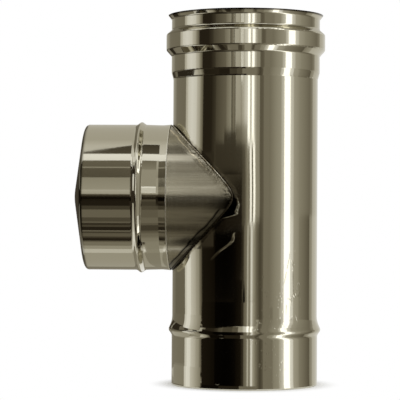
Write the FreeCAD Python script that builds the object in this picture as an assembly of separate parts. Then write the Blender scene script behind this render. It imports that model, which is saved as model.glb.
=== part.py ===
# Stove pipe tee, nominal 80 mm, single-wall stainless steel, with a pull-off cap on its branch.
# Lengths are in millimetres. The origin is the centre of the bottom rim, +Z runs up the main
# tube, and the branch points along -X. Every round piece is drawn as half of its section, as
# (radius, distance along its axis), and is turned about that axis.
import FreeCAD
import Part
import math
import os

# Main tube: one rolled and formed sheet, listed from the bottom rim to the top rim
SHEET = 0.5
BODY_RADIUS = 40.0              # outer radius of the plain tube
SPIGOT_STEP = 0.25              # the calibrated male end is this much larger than the plain tube
SPIGOT_LENGTH = 27.4            # bottom rim to the foot of the stop bead
BEAD_RISE = 2.2                 # height of the bead's sharp corner over the plain tube
BEAD_STEEP_RUN = 2.9            # the side that a socket's mouth meets
BEAD_GENTLE_RUN = 5.1
BODY_LENGTH = 133.2             # plain tube between the bead and the socket's shoulder
SHOULDER_RUN = 3.6
SOCKET_FIT = 0.25               # radial room for the next pipe's male end
SOCKET_LENGTH = 9.1             # guide below the seal groove
GROOVE_LOWER_RUN = 3.3
GROOVE_RISE = 2.95
GROOVE_FLAT = 8.6
GROOVE_UPPER_RUN = 2.6
NECK_LENGTH = 5.8               # guide above the seal groove
LIP_RUN = 2.4                   # flared lead-in lip
LIP_RISE = 1.9

# Bend radii, measured on the outside of the sheet
BEAD_PEAK_BEND = 1.9
BEAD_FOOT_BEND = 2.5
BEAD_LONG_BEND = 12.0           # where the gentle side runs out into the plain tube
SHOULDER_BEND = 3.0
GROOVE_BEND = 1.3
LIP_BEND = 1.4

# Branch stub: a plain collar, saddle-cut to sit on the main tube
STUB_STEP = 0.4                 # the stub is this much smaller in radius than the main tube
STUB_REACH = 80.0               # main axis to the stub's free rim
RIM_CURL = 0.3                  # the free rim is turned in by this much, to lead into the cap
RIM_RUN = 1.5
RIM_BEND = 2.5
BRANCH_ABOVE_BEAD = 67.8        # top of the bead to the branch axis
WELD_REACH = 0.65               # the bead's toes and crown lie this far from where the tubes meet
WELD_LIFT = 0.02                # drawn gap between the bead and both tubes
WELD_SHARES = (0, 0.25, 0.5, 0.75, 1)   # its lines, from the toe on the stub to the other toe

# Cap: a drawn cup that slides over the stub, listed from its open rim to its closed end
CAP_SHEET = 0.4
CAP_FIT = 0.05                  # radial running room over the stub
CAP_BELL = 0.35                 # the open rim opens out by this much
CAP_BELL_RUN = 4.2
CAP_THROAT_LENGTH = 1.2
CAP_SKIRT_SWELL = 0.25          # the skirt opens by this much from its throat to its bead
CAP_SKIRT_LENGTH = 8.55
CAP_BEAD_RISE = 1.75
CAP_BEAD_RUN = 2.3              # foot to peak, on both sides
CAP_WALL_LENGTH = 28.25         # bead to the corner of the closed end
CAP_CORNER_BEND = 1.8
CAP_CONE_ANGLE = 10.5           # degrees that the closed end's shallow cone slopes
CAP_TIP_FLAT = 0.5              # radius of the flat in the middle of its blunted tip
CAP_TIP_BEND = 27.0
CAP_BEAD_BEND = 1.3
CAP_FOOT_BEND = 2.4
CAP_RIM_GAP = 1.0               # open rim to the main tube, where the saddle weld stops it

# Rubber seals
SEAT_GAP = 0.1                  # drawn gap between a seal and the sheet that holds it
SEAL_HEIGHT = 7.4
LIP_COUNT = 3
LIP_DEPTH = 1.3
LIP_LAND = 0.3                  # share of each lip that lies along the pipe
LIP_PROUD = 0.05                # the lips are drawn pressed back, this far clear of the bore

WHOLE_TURN = 360.0
SEAM_POINTS = 48
CUTTER_MARGIN = 10.0

# Heights along the main tube, worked out from the lengths above
BEAD_FOOT_Z = SPIGOT_LENGTH
BEAD_PEAK_Z = BEAD_FOOT_Z + BEAD_STEEP_RUN
BODY_Z = BEAD_PEAK_Z + BEAD_GENTLE_RUN
SHOULDER_Z = BODY_Z + BODY_LENGTH
SOCKET_Z = SHOULDER_Z + SHOULDER_RUN
GROOVE_Z = SOCKET_Z + SOCKET_LENGTH
GROOVE_FLAT_Z = GROOVE_Z + GROOVE_LOWER_RUN
GROOVE_TOP_Z = GROOVE_FLAT_Z + GROOVE_FLAT
NECK_Z = GROOVE_TOP_Z + GROOVE_UPPER_RUN
LIP_Z = NECK_Z + NECK_LENGTH
TOP_Z = LIP_Z + LIP_RUN
BRANCH_Z = BODY_Z + BRANCH_ABOVE_BEAD

# Radii that fit into each other
SPIGOT_RADIUS = BODY_RADIUS + SPIGOT_STEP
SOCKET_RADIUS = SPIGOT_RADIUS + SOCKET_FIT + SHEET
GROOVE_RADIUS = SOCKET_RADIUS + GROOVE_RISE
STUB_RADIUS = BODY_RADIUS - STUB_STEP
CAP_THROAT_RADIUS = STUB_RADIUS + CAP_FIT + CAP_SHEET
CAP_WALL_RADIUS = CAP_THROAT_RADIUS + CAP_SKIRT_SWELL

# The cap's cone meets its flat tip in one wide bend. The angle drives both, at any wall radius
CONE_SLOPE = math.radians(CAP_CONE_ANGLE)
CAP_TIP_RADIUS = CAP_TIP_FLAT + CAP_TIP_BEND * math.tan(CONE_SLOPE / 2)
CAP_CONE_RISE = (CAP_WALL_RADIUS - CAP_TIP_RADIUS) * math.tan(CONE_SLOPE)

UP = FreeCAD.Vector(0, 0, 1)
OUTWARD = FreeCAD.Vector(-1, 0, 0)
BRANCH_CENTRE = FreeCAD.Vector(0, 0, BRANCH_Z)


def bent_line(corners):
    """One open wire through the corners, with every bend as an arc that touches both runs."""
    points = [FreeCAD.Vector(radius, 0, along) for radius, along, bend in corners]
    edges = []
    start = points[0]
    for index in range(1, len(points) - 1):
        corner = points[index]
        bend = corners[index][2]
        back = (points[index - 1] - corner).normalize()
        ahead = (points[index + 1] - corner).normalize()
        half_turn = (math.pi - back.getAngle(ahead)) / 2
        cut = bend * math.tan(half_turn)
        middle = (back + ahead).normalize() * (bend / math.cos(half_turn) - bend)
        edges.append(Part.LineSegment(start, corner + back * cut).toShape())
        arc = Part.Arc(corner + back * cut, corner + middle, corner + ahead * cut)
        edges.append(arc.toShape())
        start = corner + ahead * cut
    edges.append(Part.LineSegment(start, points[-1]).toShape())
    return Part.Wire(edges)


def side_of(start, end):
    """Unit vector to the left of a run, seen with the radius to the right and the axis up."""
    run = (end - start).normalize()
    return FreeCAD.Vector(-run.z, 0, run.x)


def shifted_corners(corners, wall):
    """The corners of the sheet's other face, one wall to the left, with both ends cut square."""
    points = [FreeCAD.Vector(radius, 0, along) for radius, along, bend in corners]
    sides = [side_of(a, b) for a, b in zip(points, points[1:])]
    shifted = [square_end(points[0], sides[0], wall)]
    for index in range(1, len(points) - 1):
        before = sides[index - 1]
        after = sides[index]
        moved = points[index] + (before + after) * (wall / (1 + before.dot(after)))
        turns_left = before.cross(after).y < 0
        bend = corners[index][2] + (-wall if turns_left else wall)
        shifted.append((moved.x, moved.z, bend))
    return shifted + [square_end(points[-1], sides[-1], wall)]


def square_end(point, side, wall):
    """Where the other face ends: level with a rim, or straight below a point on the axis."""
    if point.x == 0:
        return (0, point.z + side.z * wall, 0)
    return (point.x + wall / side.x, point.z, 0)


def formed_sheet(corners, wall):
    """Half section of a bent sheet: its outer face is given, its inner face is one wall inside."""
    outer = bent_line(corners)
    inner = bent_line(shifted_corners(corners, wall))
    first = Part.LineSegment(inner.Vertexes[0].Point, outer.Vertexes[0].Point).toShape()
    last = Part.LineSegment(outer.Vertexes[-1].Point, inner.Vertexes[-1].Point).toShape()
    outline = Part.sortEdges(outer.Edges + [last] + inner.Edges + [first])[0]
    return Part.Face(Part.Wire(outline))


def turned(section):
    """A half section turned once around the main axis."""
    return section.revolve(FreeCAD.Vector(0, 0, 0), UP, WHOLE_TURN)


def onto_branch(shape):
    """A piece that was turned about the main axis, laid along the branch."""
    placed = shape.copy()
    placed.rotate(FreeCAD.Vector(0, 0, 0), FreeCAD.Vector(0, 1, 0), -WHOLE_TURN / 4)
    placed.translate(BRANCH_CENTRE)
    return placed


def main_tube():
    """The formed sheet tube, with the round hole that the branch opens into."""
    corners = [
        (SPIGOT_RADIUS, 0, 0),
        (SPIGOT_RADIUS, BEAD_FOOT_Z, BEAD_FOOT_BEND),
        (BODY_RADIUS + BEAD_RISE, BEAD_PEAK_Z, BEAD_PEAK_BEND),
        (BODY_RADIUS, BODY_Z, BEAD_LONG_BEND),
        (BODY_RADIUS, SHOULDER_Z, SHOULDER_BEND),
        (SOCKET_RADIUS, SOCKET_Z, SHOULDER_BEND),
        (SOCKET_RADIUS, GROOVE_Z, GROOVE_BEND),
        (GROOVE_RADIUS, GROOVE_FLAT_Z, GROOVE_BEND),
        (GROOVE_RADIUS, GROOVE_TOP_Z, GROOVE_BEND),
        (SOCKET_RADIUS, NECK_Z, GROOVE_BEND),
        (SOCKET_RADIUS, LIP_Z, LIP_BEND),
        (SOCKET_RADIUS + LIP_RISE, TOP_Z, 0),
    ]
    tube = turned(formed_sheet(corners, SHEET))
    hole_radius = STUB_RADIUS - SHEET
    reach = BODY_RADIUS + CUTTER_MARGIN
    return tube.cut(Part.makeCylinder(hole_radius, reach, BRANCH_CENTRE, OUTWARD))


def branch_stub():
    """The collar under the cap: plain to its turned-in rim, and saddle-cut on the main tube."""
    corners = [
        (STUB_RADIUS, 0, 0),
        (STUB_RADIUS, STUB_REACH - RIM_RUN, RIM_BEND),
        (STUB_RADIUS - RIM_CURL, STUB_REACH, 0),
    ]
    collar = onto_branch(turned(formed_sheet(corners, SHEET)))
    reach = STUB_RADIUS + CUTTER_MARGIN
    saddle = Part.makeCylinder(BODY_RADIUS, 2 * reach, BRANCH_CENTRE - UP * reach, UP)
    return collar.cut(saddle)


def weld_point(turn, share):
    """A point of the weld bead's section, at one turn round the stub.

    The section is a fan about the line where the two tubes meet. The share runs from the toe on
    the stub to the toe on the main tube, and the fan's root has none.
    """
    stub_side = FreeCAD.Vector(0, math.sin(turn), math.cos(turn))
    seam = BRANCH_CENTRE + stub_side * STUB_RADIUS
    seam.x = -math.sqrt(BODY_RADIUS ** 2 - seam.y ** 2)
    main_side = FreeCAD.Vector(seam.x, seam.y, 0) / BODY_RADIUS
    along = stub_side.cross(main_side).normalize()
    stub_toe = along.cross(stub_side)
    main_toe = main_side.cross(along)
    lift = (stub_side + main_side) * (WELD_LIFT / (1 + stub_side.dot(main_side)))
    if share is None:
        return seam + lift
    swing = share * stub_toe.getAngle(main_toe)
    across = (main_toe - stub_toe * stub_toe.dot(main_toe)).normalize()
    reach = stub_toe * math.cos(swing) + across * math.sin(swing)
    return seam + lift + reach * WELD_REACH


def weld_line(share):
    """One closed edge of the weld bead, all the way round the saddle."""
    turns = [2 * math.pi * step / SEAM_POINTS for step in range(SEAM_POINTS)]
    curve = Part.BSplineCurve()
    curve.interpolate(Points=[weld_point(turn, share) for turn in turns], PeriodicFlag=True)
    return curve.toShape()


def saddle_weld():
    """The weld bead round the saddle: ruled faces between lines that follow the seam."""
    lines = [weld_line(share) for share in (None,) + WELD_SHARES]
    faces = [Part.makeRuledSurface(a, b) for a, b in zip(lines, lines[1:] + lines[:1])]
    return Part.Solid(Part.Shell(faces))


def cap_stations():
    """Distances of the cap's features from the main axis, from its open rim outwards."""
    rim = BODY_RADIUS + CAP_RIM_GAP
    throat = rim + CAP_BELL_RUN
    skirt = throat + CAP_THROAT_LENGTH
    bead_foot = skirt + CAP_SKIRT_LENGTH
    bead_peak = bead_foot + CAP_BEAD_RUN
    wall = bead_peak + CAP_BEAD_RUN
    end = wall + CAP_WALL_LENGTH
    return rim, throat, skirt, bead_foot, bead_peak, wall, end


def end_cap():
    """The drawn cup: belled rim, throat, skirt, seal bead, wall and shallow conical end."""
    rim, throat, skirt, bead_foot, bead_peak, wall, end = cap_stations()
    corners = [
        (CAP_THROAT_RADIUS + CAP_BELL, rim, 0),
        (CAP_THROAT_RADIUS, throat, CAP_FOOT_BEND),
        (CAP_THROAT_RADIUS, skirt, CAP_FOOT_BEND),
        (CAP_WALL_RADIUS, bead_foot, CAP_FOOT_BEND),
        (CAP_WALL_RADIUS + CAP_BEAD_RISE, bead_peak, CAP_BEAD_BEND),
        (CAP_WALL_RADIUS, wall, CAP_FOOT_BEND),
        (CAP_WALL_RADIUS, end, CAP_CORNER_BEND),
        (CAP_TIP_RADIUS, end + CAP_CONE_RISE, CAP_TIP_BEND),
        (0, end + CAP_CONE_RISE, 0),
    ]
    return onto_branch(turned(formed_sheet(corners, CAP_SHEET)))


def cap_seal():
    """A round rubber ring, as thick as the cap's bead and the stub leave room for."""
    bead_peak = cap_stations()[4]
    flank = math.hypot(CAP_BEAD_RISE, CAP_BEAD_RUN)
    across_flank = CAP_BEAD_RUN / flank
    roof = CAP_WALL_RADIUS + CAP_BEAD_RISE - CAP_SHEET / across_flank
    room = roof - SEAT_GAP / across_flank - STUB_RADIUS - CAP_FIT
    cord_radius = room / (1 + 1 / across_flank)
    ring_radius = STUB_RADIUS + CAP_FIT + cord_radius
    ring = Part.makeTorus(ring_radius, cord_radius, FreeCAD.Vector(0, 0, bead_peak), UP)
    return onto_branch(ring)


def socket_seal():
    """The rubber lip seal in the socket's groove, with its lips leaning the way a pipe goes in."""
    back = GROOVE_RADIUS - SHEET - SEAT_GAP
    tip = SOCKET_RADIUS - SHEET + LIP_PROUD
    root = tip + LIP_DEPTH
    top = GROOVE_FLAT_Z + (GROOVE_FLAT + SEAL_HEIGHT) / 2
    pitch = SEAL_HEIGHT / LIP_COUNT
    outline = [(back, top), (back, top - SEAL_HEIGHT)]
    for lip in reversed(range(LIP_COUNT)):
        lip_top = top - lip * pitch
        land_top = lip_top - (1 - LIP_LAND) * pitch
        outline += [(tip, lip_top - pitch), (tip, land_top), (root, lip_top)]
    points = [FreeCAD.Vector(radius, 0, along) for radius, along in outline]
    return turned(Part.Face(Part.makePolygon(points + points[:1])))


PIECES = {
    "main_tube": main_tube,
    "branch_stub": branch_stub,
    "saddle_weld": saddle_weld,
    "end_cap": end_cap,
    "cap_seal": cap_seal,
    "socket_seal": socket_seal,
}


def main():
    os.makedirs("parts", exist_ok=True)
    for name, make_piece in PIECES.items():
        solid = make_piece().Solids[0]
        solid.exportStep("parts/%s.step" % name)
        box = solid.optimalBoundingBox()
        print("%-12s valid %s  volume %.1f mm3  x %.1f..%.1f  y %.1f..%.1f  z %.1f..%.1f" % (
            name, solid.isValid(), solid.Volume, box.XMin, box.XMax, box.YMin, box.YMax,
            box.ZMin, box.ZMax))


main()
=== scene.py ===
# %% [markdown]
# A stove pipe tee, dressed for its picture.
#
# The frame holds the tee's true shape: a formed main tube, a satin branch stub, the weld between
# them, a bright cap over the stub and two rubber seals. This lesson gives each of them its finish,
# adds what is too fine for the frame, and lights the whole. Bright sheet steel has hardly a colour
# of its own: it shows what stands round it. So half of the work is the studio, not the steel.

# %% Load the frame
import bpy
import math
from mathutils import Matrix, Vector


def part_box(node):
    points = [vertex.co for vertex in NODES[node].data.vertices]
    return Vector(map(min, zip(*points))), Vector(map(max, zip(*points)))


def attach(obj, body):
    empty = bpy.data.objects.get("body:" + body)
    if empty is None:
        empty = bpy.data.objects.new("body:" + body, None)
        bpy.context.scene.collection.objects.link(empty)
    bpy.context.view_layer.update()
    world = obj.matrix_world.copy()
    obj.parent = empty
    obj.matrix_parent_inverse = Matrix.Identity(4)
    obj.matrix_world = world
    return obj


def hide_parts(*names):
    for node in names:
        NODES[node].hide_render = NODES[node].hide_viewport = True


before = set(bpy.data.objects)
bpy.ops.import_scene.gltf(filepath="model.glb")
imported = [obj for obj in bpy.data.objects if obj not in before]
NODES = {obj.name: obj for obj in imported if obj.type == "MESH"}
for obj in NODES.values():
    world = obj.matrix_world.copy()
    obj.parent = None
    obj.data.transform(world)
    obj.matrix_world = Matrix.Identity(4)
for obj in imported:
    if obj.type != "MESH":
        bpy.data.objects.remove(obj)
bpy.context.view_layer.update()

MM = 0.001
TUBE_LOW, TUBE_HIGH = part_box("main_tube")
STUB_LOW, STUB_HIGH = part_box("branch_stub")
CAP_LOW, CAP_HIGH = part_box("end_cap")
BRANCH_HEIGHT = (STUB_LOW.z + STUB_HIGH.z) / 2
STUB_RADIUS = (STUB_HIGH.z - STUB_LOW.z) / 2
BODY_RADIUS = 40 * MM
print("tee", [round(v, 4) for v in TUBE_HIGH - TUBE_LOW], "branch height", round(BRANCH_HEIGHT, 4))

# %% [markdown]
# The camera stands level with the lower half of the tee, a metre away, and looks along the floor.
# Its place could be found by eye. Here it was worked out from the outline: how far the round rims
# bulge gives the distance, and where they look flat gives the height. The focal length is given in
# pixels of the square picture, because that is how it was measured.

# %% Camera
PICTURE_PIXELS = 400
FOCAL_PIXELS = 1868.6
MAIN_AXIS_PIXEL_X = 245.0
HORIZON_PIXEL_Y = 215.0
CAMERA_DISTANCE = 1.0364
CAMERA_HEIGHT = 0.0935
CAMERA_AZIMUTH = math.radians(1.94)
CAMERA_ROLL = math.radians(0.29)


def make_camera():
    """A camera at the picture's angle, turned so that the tee stands where it does there."""
    lens = bpy.data.cameras.new("studio_camera")
    lens.sensor_width = 36
    lens.lens = lens.sensor_width * FOCAL_PIXELS / PICTURE_PIXELS
    lens.clip_start = 0.05
    lens.clip_end = 30
    camera = bpy.data.objects.new("studio_camera", lens)
    bpy.context.scene.collection.objects.link(camera)
    turn_left = math.atan((MAIN_AXIS_PIXEL_X - PICTURE_PIXELS / 2) / FOCAL_PIXELS)
    tilt_up = math.atan((HORIZON_PIXEL_Y - PICTURE_PIXELS / 2) / FOCAL_PIXELS)
    camera.location = (CAMERA_DISTANCE * math.sin(CAMERA_AZIMUTH),
                       -CAMERA_DISTANCE * math.cos(CAMERA_AZIMUTH), CAMERA_HEIGHT)
    level = Matrix.Rotation(math.pi / 2 + tilt_up, 4, "X")
    heading = Matrix.Rotation(CAMERA_AZIMUTH + turn_left, 4, "Z")
    roll = Matrix.Rotation(CAMERA_ROLL, 4, "Z")
    camera.rotation_euler = (heading @ level @ roll).to_euler()
    bpy.context.scene.camera = camera
    return camera


CAMERA = make_camera()
print("lens", round(CAMERA.data.lens, 1), "mm at", [round(v, 3) for v in CAMERA.location])

# %% [markdown]
# A few helpers serve every material. Colours are written as the hex values that a screen shows, and
# one helper turns them into the linear light that the renderer works in. Another adds a node with
# its settings, and links any input that is given a node or socket instead of a number. Three short
# ones stand for the nodes that come up most: a sum, a ramp from one value to another, and a noise.
# Each node could also be made, set and linked in lines of its own, but then the sums would be lost
# in them.

# %% Colour and node helpers
MATH = "ShaderNodeMath"
VECTOR_MATH = "ShaderNodeVectorMath"
RANGE = "ShaderNodeMapRange"
MAPPING = "ShaderNodeMapping"
NOISE = "ShaderNodeTexNoise"
BUMP = "ShaderNodeBump"
MIX = "ShaderNodeMix"


def linear(code):
    """The linear colour of an sRGB hex value such as #cbc7b6."""
    parts = [int(code[i:i + 2], 16) / 255 for i in (1, 3, 5)]
    return tuple(p / 12.92 if p <= 0.04045 else ((p + 0.055) / 1.055) ** 2.4 for p in parts) + (1,)


def add(tree, kind, inputs=None, **settings):
    """One more node. Each input, by name or place, is set, or linked to a socket or node."""
    node = tree.nodes.new(kind)
    for name, value in settings.items():
        setattr(node, name, value)
    for name, value in (inputs or {}).items():
        if isinstance(value, bpy.types.Node):
            value = value.outputs[0]
        if isinstance(value, bpy.types.NodeSocket):
            tree.links.new(value, node.inputs[name])
        else:
            node.inputs[name].default_value = value
    return node


def calc(tree, operation, *values):
    """A sum of one kind, such as MULTIPLY, over numbers, sockets or nodes."""
    return add(tree, MATH, dict(enumerate(values)), operation=operation)


def ramp(tree, value, start, end, low=0, high=1):
    """Goes from low to high while the value goes from start to end, and no further."""
    return add(tree, RANGE, {"Value": value, "From Min": start, "From Max": end,
                             "To Min": low, "To Max": high})


def noise(tree, place, size, detail=2.0):
    """Cloudy noise with lumps of this size, and with this much finer detail in them."""
    return add(tree, NOISE, {"Vector": place, "Scale": 1 / size, "Detail": detail})


def new_material(name):
    """An empty material and its node tree."""
    material = bpy.data.materials.new(name)
    material.use_nodes = True
    material.node_tree.nodes.clear()
    return material, material.node_tree


bpy.context.scene.view_settings.view_transform = "Standard"
print("a mid olive in linear light", [round(v, 3) for v in linear("#807a65")[:3]])

# %% [markdown]
# The tee stands on a white sheet in a white room. Lamps could make that white, but they would also
# change the steel. So the world lights the tee softly from all sides, at the level where a colour
# looks as it is written. The floor is a pale matt sheet, where the tee casts its soft shadow.
# Further out it turns into pure white for whatever looks at it straight or through a mirror, and no
# horizon shows.

# %% White world and pale floor
WORLD_LIGHT = 1.0
FLOOR_SIZE = 12.0
FLOOR_FADE_FROM = 0.036
FLOOR_FADE_TO = 0.054


def seen_directly(tree):
    """1 for a ray that the camera, a mirror or glass sends out, and 0 for diffuse light."""
    path = add(tree, "ShaderNodeLightPath").outputs
    both = calc(tree, "MAXIMUM", path["Is Camera Ray"], path["Is Glossy Ray"])
    return calc(tree, "MAXIMUM", both, path["Is Transmission Ray"])


def make_world():
    """Plain white, both as a lamp and where it is seen."""
    world = bpy.data.worlds.new("white_world")
    bpy.context.scene.world = world
    world.use_nodes = True
    tree = world.node_tree
    tree.nodes.clear()
    light = add(tree, "ShaderNodeBackground", {"Color": linear("#ffffff"), "Strength": WORLD_LIGHT})
    add(tree, "ShaderNodeOutputWorld", {"Surface": light})


def make_floor():
    """A pale matt sheet that fades to pure white away from the tee."""
    material, tree = new_material("pale_studio_floor")
    matt = add(tree, "ShaderNodeBsdfDiffuse", {"Color": linear("#f6f6f4")})
    white = add(tree, "ShaderNodeEmission", {"Color": linear("#ffffff"), "Strength": 1.0})
    place = add(tree, "ShaderNodeTexCoord").outputs["Object"]
    distance = add(tree, VECTOR_MATH, {0: place}, operation="LENGTH").outputs["Value"]
    fade = add(tree, RANGE, {"Value": distance, "From Min": FLOOR_FADE_FROM,
                             "From Max": FLOOR_FADE_TO}, interpolation_type="SMOOTHSTEP")
    share = calc(tree, "MULTIPLY", fade, seen_directly(tree))
    both = add(tree, "ShaderNodeMixShader", {0: share, 1: matt, 2: white})
    add(tree, "ShaderNodeOutputMaterial", {"Surface": both})
    mesh = bpy.data.meshes.new("floor")
    half = FLOOR_SIZE / 2
    mesh.from_pydata([(-half, -half, 0), (half, -half, 0), (half, half, 0), (-half, half, 0)], [],
                     [(0, 1, 2, 3)])
    mesh.materials.append(material)
    floor = bpy.data.objects.new("floor", mesh)
    bpy.context.scene.collection.objects.link(floor)


make_world()
make_floor()
print("floor", FLOOR_SIZE, "m wide")

# %% [markdown]
# A mirror needs something to show. A photographer sets dark and pale boards round bright metal, and
# each board becomes a band on it. The bands could be painted on the steel, but then they would stay
# put when the tee is turned. So each board is a real strip of faces that glows. Its glow is its
# brightness, where 1 is the white of the world, and the darker boards are warmer, as card is.
#
# The boards only show in reflections. The camera looks through them, and they cast no shadow.

# %% A board
BOARD_TINTS = {0.0: "#c9ad86", 0.1: "#e8dabb", 0.4: "#fbf5e2", 1.0: "#ffffff"}
BOARDS = []


def board_material():
    """Card that glows as its points say."""
    material, tree = new_material("warm_grey_board")
    glow = add(tree, "ShaderNodeAttribute", attribute_name="glow").outputs["Fac"]
    tint = add(tree, "ShaderNodeValToRGB", {"Fac": glow})
    stops = tint.color_ramp.elements
    for place, code in BOARD_TINTS.items():
        stop = stops[0] if place == 0 else stops[-1] if place == 1 else stops.new(place)
        stop.position = place
        stop.color = linear(code)
    light = add(tree, "ShaderNodeEmission", {"Color": tint, "Strength": glow})
    add(tree, "ShaderNodeOutputMaterial", {"Surface": light})
    return material


BOARD_MATERIAL = board_material()


def board(name, rows, glow_from, glow_to=None):
    """A strip of faces between pairs of points. Its glow may change from its first pair on."""
    mesh = bpy.data.meshes.new(name)
    points = [point for pair in rows for point in pair]
    faces = [(2 * i, 2 * i + 1, 2 * i + 3, 2 * i + 2) for i in range(len(rows) - 1)]
    mesh.from_pydata(points, [], faces)
    glow = mesh.attributes.new("glow", "FLOAT", "POINT")
    change = 0 if glow_to is None else glow_to - glow_from
    for index in range(len(points)):
        share = (index // 2) / (len(rows) - 1)
        glow.data[index].value = glow_from + change * share
    mesh.materials.append(BOARD_MATERIAL)
    piece = bpy.data.objects.new(name, mesh)
    bpy.context.scene.collection.objects.link(piece)
    piece.visible_camera = False
    piece.visible_diffuse = False
    piece.visible_shadow = False
    piece.visible_transmission = False
    BOARDS.append(name)


print("board tints", list(BOARD_TINTS.values()))

# %% [markdown]
# The main tube stands upright, so it mirrors a ring of boards round it. A band at a share of the
# way across the tube shows what stands at twice the arcsine of that share round it. What is higher
# than the camera shows on the tube above the camera's height, and the floor shows near its foot.
# Boards could be pushed about until their bands look right. Here each one is placed by the angle
# that the tube turns a ray of the camera through, so that a band is where it is wanted at once.

# %% Boards round the main tube
WALL_RADIUS = 1.5
BOARD_STEP = math.radians(3)
FLOOR_LIFT = 0.6 * MM


def spread(degrees):
    """Angles between both of a pair of degrees, in even steps that no board step is wider than."""
    start, end = map(math.radians, degrees)
    count = max(1, math.ceil(abs(end - start) / BOARD_STEP))
    return [start + (end - start) * i / count for i in range(count + 1)]


def sent_on(turn, distance, height):
    """Where a ray that the main tube turns by this angle has got to after this distance."""
    leaves = turn / 2 + CAMERA_AZIMUTH
    heads = turn + CAMERA_AZIMUTH
    return (BODY_RADIUS * math.sin(leaves) + distance * math.sin(heads),
            -BODY_RADIUS * math.cos(leaves) - distance * math.cos(heads), height)


def wall_board(name, turns, heights, glow_from, glow_to=None, radius=WALL_RADIUS):
    """An upright board. Its turns are degrees to the right of the camera."""
    rows = [[sent_on(turn, radius, height) for height in heights] for turn in spread(turns)]
    board(name, rows, glow_from, glow_to)


def floor_board(name, turns, reach, glow_from, glow_to=None, lift=FLOOR_LIFT):
    """A board on the floor, between two distances from the tube."""
    rows = [[sent_on(turn, distance, lift) for distance in reach] for turn in spread(turns)]
    board(name, rows, glow_from, glow_to)


RIGHT = [round(v, 2) for v in sent_on(math.pi / 2, WALL_RADIUS, 0)]
print("a ray turned by 90 degrees ends at", RIGHT)

# %% [markdown]
# The ring itself is a table, read off the tube from left to right: where each board starts and
# ends, and its glow at both edges, above the camera's height and below it. A smooth picture round
# the tee would do as well, but a short list of boards is easy to read and to change. Where the low
# boards are dark, a card close to the foot stands in for the floor near it. From above, the tube's
# folds look over that card, at a pale floor.

# %% The ring
TOP = 2.3
EYE = CAMERA_HEIGHT
CARD_TURNS = (-72, 19)
CARD_GAP = 20 * MM
CARD_HEIGHT = 46 * MM
FOOT_GAP = 2 * MM
PALE_REACH = 0.9
# The ring: each board's turns, and its glow at both edges above and below the camera's height
RING = {
    "rear_left": ((-180, -143), (0.56, 0.32), (0.34, 0.25)),
    "left": ((-143, -109), (0.27, 0.27), (0.22, 0.24)),
    "cream_left": ((-109, -103), (0.6, 0.76), (0.8, 1.0)),
    "cream": ((-103, -94), (0.9, 1.0), (1.1, 1.05)),
    "cream_right": ((-94, -83), (1.02, 0.9), (0.85, 0.62)),
    "fade": ((-83, -76), (0.78, 0.54), (0.55, 0.42)),
    "fade_dark": ((-76, -70), (0.44, 0.17), (0.34, 0.09)),
    "flag": ((-70, -54), (0.04, 0.042), (0.024, 0.017)),
    "flag_inner": ((-54, -47), (0.05, 0.09), (0.016, 0.012)),
    "shade": ((-47, -30), (0.12, 0.23), (0.004, 0.002)),
    "front_left": ((-30, -22), (0.28, 0.42), (0.002, 0.003)),
    "front_fold": ((-22, -14), (0.27, 0.31), (0.003, 0.007)),
    "front_right": ((-14, -5.5), (0.34, 0.48), (0.01, 0.02)),
    "front_edge": ((-5.5, -1.5), (0.55, 0.72), (0.035, 0.08)),
    "strip_edge": ((-1.5, 3.8), (0.8, 1.0), (0.2, 0.33)),
    "strip_left": ((3.8, 6), (2.0, 2.0), (0.75, 0.6)),
    "strip_left_edge": ((6, 7.1), (2.0, 2.0), (0.34, 0.34)),
    "strip_gap": ((7.1, 9), (0.8, 0.8), (0.36, 0.4)),
    "strip_middle": ((9, 10), (0.9, 0.9), (0.9, 0.9)),
    "strip_right": ((10, 12), (2.1, 2.1), (1.05, 0.95)),
    "strip_fall": ((12, 13.9), (1.9, 1.4), (0.62, 0.5)),
    "strip_foot": ((13.9, 17.5), (0.8, 0.5), (0.46, 0.3)),
    "right_dim": ((17.5, 22.5), (0.44, 0.4), (0.26, 0.14)),
    "right_line": ((22.5, 26), (0.2, 0.18), (0.12, 0.13)),
    "right_line_edge": ((26, 29), (0.18, 0.22), (0.15, 0.2)),
    "right_mid": ((29, 45), (0.29, 0.31), (0.29, 0.29)),
    "right_rise": ((45, 56), (0.36, 0.42), (0.37, 0.46)),
    "softbox_side": ((56, 64.5), (0.5, 0.9), (0.6, 1.0)),
    "softbox": ((64.5, 76), (2.1, 2.1), (2.1, 2.1)),
    "softbox_edge": ((76, 83), (0.95, 0.72), (1.15, 0.85)),
    "right_fall": ((83, 95), (0.54, 0.42), (0.56, 0.42)),
    "right": ((95, 124), (0.4, 0.25), (0.36, 0.16)),
    "right_seam": ((124, 135), (0.25, 0.38), (0.34, 0.5)),
    "rear_right": ((135, 180), (0.58, 0.85), (0.64, 0.85)),
}
for name, (turns, high, low) in RING.items():
    wall_board(name + "_high", turns, (EYE, TOP), *high)
    wall_board(name + "_low", turns, (0, EYE), *low)
    behind_card = turns[0] >= CARD_TURNS[0] and turns[1] <= CARD_TURNS[1]
    if behind_card:
        wall_board(name + "_card", turns, (0, CARD_HEIGHT), *low, radius=CARD_GAP)
    near = PALE_REACH if behind_card else FOOT_GAP
    floor_board(name + "_floor", turns, (near, WALL_RADIUS), *low)
print(len(RING), "places on the ring,", len(BOARDS), "boards")

# %% [markdown]
# The stop bead and the foot of the tube look down at the floor close by. One wide card could lie
# there, but the bead shows the floor at another distance than the foot does. So the cards lie in
# three rows before the tee, each with tones of its own. On the left, low cards stand at the foot,
# so that the slips under the branch stay out of the tube, and a dark card in front hides the slips
# before the branch from it.

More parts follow.
